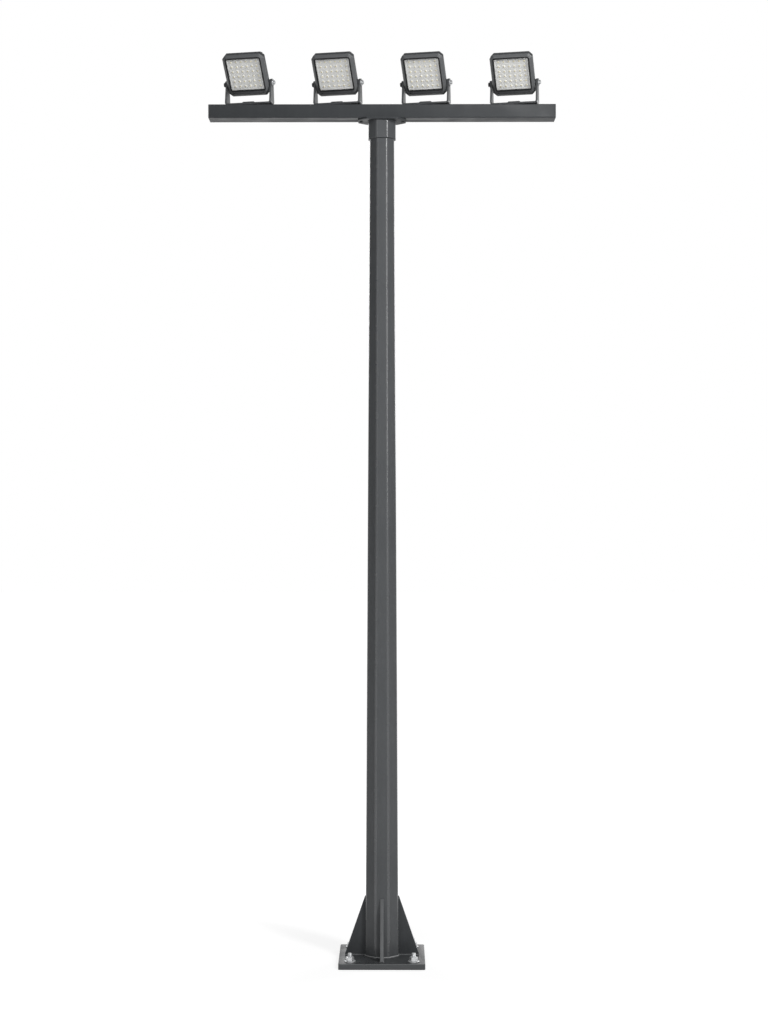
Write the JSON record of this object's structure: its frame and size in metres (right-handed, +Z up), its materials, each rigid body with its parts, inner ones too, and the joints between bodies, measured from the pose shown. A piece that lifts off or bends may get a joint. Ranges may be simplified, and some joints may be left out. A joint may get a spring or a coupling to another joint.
{
  "type": "floodlight pole",
  "caption": "Tapered octagonal steel column on a gusseted base plate, with a box-section crossarm carrying LED floodlights in pan-and-tilt yokes.",
  "frame": {"origin": "centre of the base plate's underside, at ground level", "axes": "+Z up the column, +X along the crossarm, -Y the side that the lamps face"},
  "size_m": [2.43, 0.6, 6.3546],
  "materials": {
    "column_paint": "satin dark grey powder coat over galvanized steel",
    "bracket_steel": "satin dark grey powder coat",
    "lamp_casting": "fine-textured dark grey powder coat on die-cast aluminium",
    "black_bolts": "blackened steel",
    "galvanized": "hot-dip galvanized, bright",
    "stainless": "satin stainless steel",
    "lamp_glass": "clear toughened glass",
    "led_panel_white": "white reflector board with lens optics",
    "pad_rubber": "matt black rubber"
  },
  "bodies": {
    "root": {"base_plate": "column_paint", "gussets": "column_paint", "anchor_studs": "galvanized", "anchor_nuts": "galvanized", "anchor_washers": "galvanized", "pole_shaft": "column_paint", "top_collar": "column_paint", "head_flange": "column_paint", "flange_bolts": "black_bolts", "crossarm": "column_paint", "end_caps": "column_paint", "pan_bolts": "black_bolts"},
    "lamp_1_bracket": {"lamp_1_base_pad": "pad_rubber", "lamp_1_yoke": "bracket_steel", "lamp_1_saddle": "bracket_steel"},
    "lamp_1_head": {"lamp_1_housing": "lamp_casting", "lamp_1_bezel": "lamp_casting", "lamp_1_glass": "lamp_glass", "lamp_1_led_panel": "led_panel_white", "lamp_1_pivot_screws": "stainless"},
    "lamp_2_bracket": {"lamp_2_base_pad": "pad_rubber", "lamp_2_yoke": "bracket_steel", "lamp_2_saddle": "bracket_steel"},
    "lamp_2_head": {"lamp_2_housing": "lamp_casting", "lamp_2_bezel": "lamp_casting", "lamp_2_glass": "lamp_glass", "lamp_2_led_panel": "led_panel_white", "lamp_2_pivot_screws": "stainless"},
    "lamp_3_bracket": {"lamp_3_base_pad": "pad_rubber", "lamp_3_yoke": "bracket_steel", "lamp_3_saddle": "bracket_steel"},
    "lamp_3_head": {"lamp_3_housing": "lamp_casting", "lamp_3_bezel": "lamp_casting", "lamp_3_glass": "lamp_glass", "lamp_3_led_panel": "led_panel_white", "lamp_3_pivot_screws": "stainless"},
    "lamp_4_bracket": {"lamp_4_base_pad": "pad_rubber", "lamp_4_yoke": "bracket_steel", "lamp_4_saddle": "bracket_steel"},
    "lamp_4_head": {"lamp_4_housing": "lamp_casting", "lamp_4_bezel": "lamp_casting", "lamp_4_glass": "lamp_glass", "lamp_4_led_panel": "led_panel_white", "lamp_4_pivot_screws": "stainless"}
  },
  "joints": [
    {"name": "lamp_1_pan", "type": "hinge", "parent": "root", "child": "lamp_1_bracket", "pos_m": [-0.9315, 0, 6], "axis": [0, 0, 1], "range_deg": [-32, 58]},
    {"name": "lamp_1_tilt", "type": "hinge", "parent": "lamp_1_bracket", "child": "lamp_1_head", "pos_m": [-0.9315, 0, 6.16], "axis": [0.9744, -0.225, 0], "range_deg": [-68, 52]},
    {"name": "lamp_2_pan", "type": "hinge", "parent": "root", "child": "lamp_2_bracket", "pos_m": [-0.3105, 0, 6], "axis": [0, 0, 1], "range_deg": [-32, 58]},
    {"name": "lamp_2_tilt", "type": "hinge", "parent": "lamp_2_bracket", "child": "lamp_2_head", "pos_m": [-0.3105, 0, 6.16], "axis": [0.9744, -0.225, 0], "range_deg": [-68, 52]},
    {"name": "lamp_3_pan", "type": "hinge", "parent": "root", "child": "lamp_3_bracket", "pos_m": [0.3105, 0, 6], "axis": [0, 0, 1], "range_deg": [-32, 58]},
    {"name": "lamp_3_tilt", "type": "hinge", "parent": "lamp_3_bracket", "child": "lamp_3_head", "pos_m": [0.3105, 0, 6.16], "axis": [0.9744, -0.225, 0], "range_deg": [-68, 52]},
    {"name": "lamp_4_pan", "type": "hinge", "parent": "root", "child": "lamp_4_bracket", "pos_m": [0.9315, 0, 6], "axis": [0, 0, 1], "range_deg": [-32, 58]},
    {"name": "lamp_4_tilt", "type": "hinge", "parent": "lamp_4_bracket", "child": "lamp_4_head", "pos_m": [0.9315, 0, 6.16], "axis": [0.9744, -0.225, 0], "range_deg": [-68, 52]}
  ]
}
